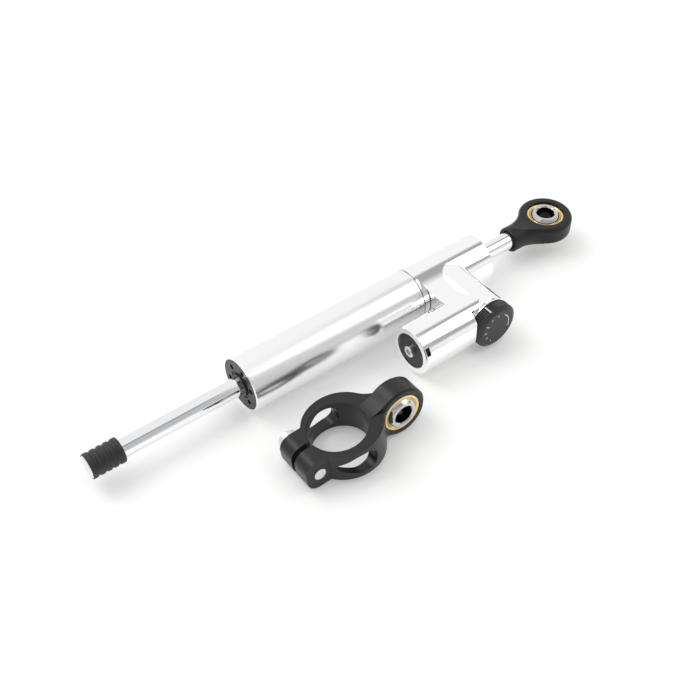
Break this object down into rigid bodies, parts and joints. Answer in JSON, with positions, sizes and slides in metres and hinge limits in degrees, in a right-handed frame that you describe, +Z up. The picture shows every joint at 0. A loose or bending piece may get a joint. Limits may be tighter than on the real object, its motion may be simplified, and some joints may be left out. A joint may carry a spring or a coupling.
{
  "type": "steering damper",
  "caption": "Through-rod hydraulic steering damper with a side reservoir, a damping knob, a rod eye and a loose body clamp, both with spherical bearings.",
  "frame": {"origin": "on the damper's axis, at the middle of the stretch of body tube that the clamp can grip", "axes": "+X along the rod to the rod eye, -Y to the reservoir and the knob, +Z up from the table that it lies on"},
  "size_m": [0.2481, 0.0728, 0.024],
  "materials": {
    "polished_aluminium": "clear anodised over a polished surface",
    "black_anodised": "black anodised, satin",
    "knob_black": "black anodised with white engraved marks",
    "turned_aluminium": "as turned",
    "hard_chrome": "hard chrome, ground",
    "bearing_bronze": "plated golden yellow",
    "bush_bronze": "sintered bronze",
    "bearing_steel": "hardened and ground",
    "plated_steel": "zinc plated",
    "spring_steel": "oiled",
    "bolt_steel": "stainless",
    "seal_rubber": "nitrile",
    "sleeve_rubber": "matt black",
    "band_ptfe": "bronze-filled bearing plastic",
    "float_acetal": "natural acetal"
  },
  "bodies": {
    "barrel": {"body_tube": "polished_aluminium", "liner_tube": "turned_aluminium", "front_gland": "black_anodised", "gland_oring": "seal_rubber", "rod_guide_bushes": "bush_bronze", "rod_seals": "seal_rubber", "rod_wipers": "seal_rubber", "head_body": "polished_aluminium", "head_oring": "seal_rubber", "reservoir_cap": "black_anodised", "reservoir_cap_oring": "seal_rubber", "cap_retaining_ring": "spring_steel", "fill_screw": "plated_steel", "compensator_spring": "spring_steel", "adjuster_gland": "polished_aluminium", "stem_oring": "seal_rubber"},
    "band": {"piston_band": "band_ptfe"},
    "rod": {"piston_rod": "hard_chrome", "piston": "turned_aluminium", "piston_circlips": "spring_steel", "rod_end_sleeve": "sleeve_rubber", "rod_end_screw": "plated_steel", "rod_eye": "black_anodised", "eye_race": "bearing_bronze"},
    "eye_ball": {"eye_ball": "bearing_steel"},
    "knob": {"adjuster_knob": "knob_black", "adjuster_stem": "plated_steel", "knob_screw": "plated_steel", "click_ball": "bearing_steel", "click_spring": "spring_steel"},
    "needle": {"adjuster_needle": "plated_steel"},
    "float": {"floating_piston": "float_acetal", "floating_piston_oring": "seal_rubber"},
    "clamp": {"clamp_ring": "black_anodised", "clamp_race": "bearing_bronze", "clamp_bolt": "bolt_steel"},
    "clamp_ball": {"clamp_ball": "bearing_steel"}
  },
  "joints": [
    {"name": "rod_slide", "type": "slide", "parent": "barrel", "child": "band", "axis": [1, 0, 0], "range_m": [-0.015, 0.052]},
    {"name": "rod_spin", "type": "hinge", "parent": "band", "child": "rod", "pos_m": [0, 0, 0], "axis": [1, 0, 0], "continuous": true},
    {"name": "eye_ball_tilt", "type": "hinge", "parent": "rod", "child": "eye_ball", "pos_m": [0.1376, 0, 0], "axis": [0, 1, 0], "range_deg": [-12, 12]},
    {"name": "knob_turn", "type": "hinge", "parent": "barrel", "child": "knob", "pos_m": [0.0728, -0.0353, 0], "axis": [0, -1, 0], "range_deg": [-150, 150]},
    {"name": "needle_feed", "type": "slide", "parent": "knob", "child": "needle", "axis": [0, -1, 0], "range_m": [-0.00021, 0.00021]},
    {"name": "float_slide", "type": "slide", "parent": "barrel", "child": "float", "axis": [1, 0, 0], "range_m": [-0.003, 0.003], "stiffness_N_per_m": 600, "deforming": ["compensator_spring"]},
    {"name": "clamp_lift", "type": "slide", "parent": "barrel", "child": "clamp", "axis": [0, 0, 1], "range_m": [0, 0.06]},
    {"name": "clamp_ball_tilt", "type": "hinge", "parent": "clamp", "child": "clamp_ball", "pos_m": [0.01177, -0.04692, -0.0005], "axis": [0.9956, -0.0222, 0.0906], "range_deg": [-12, 12]}
  ],
  "couplings": [
    {"joint": "needle_feed", "follows": "knob_turn", "m_per_rad": 0.000079577}
  ]
}
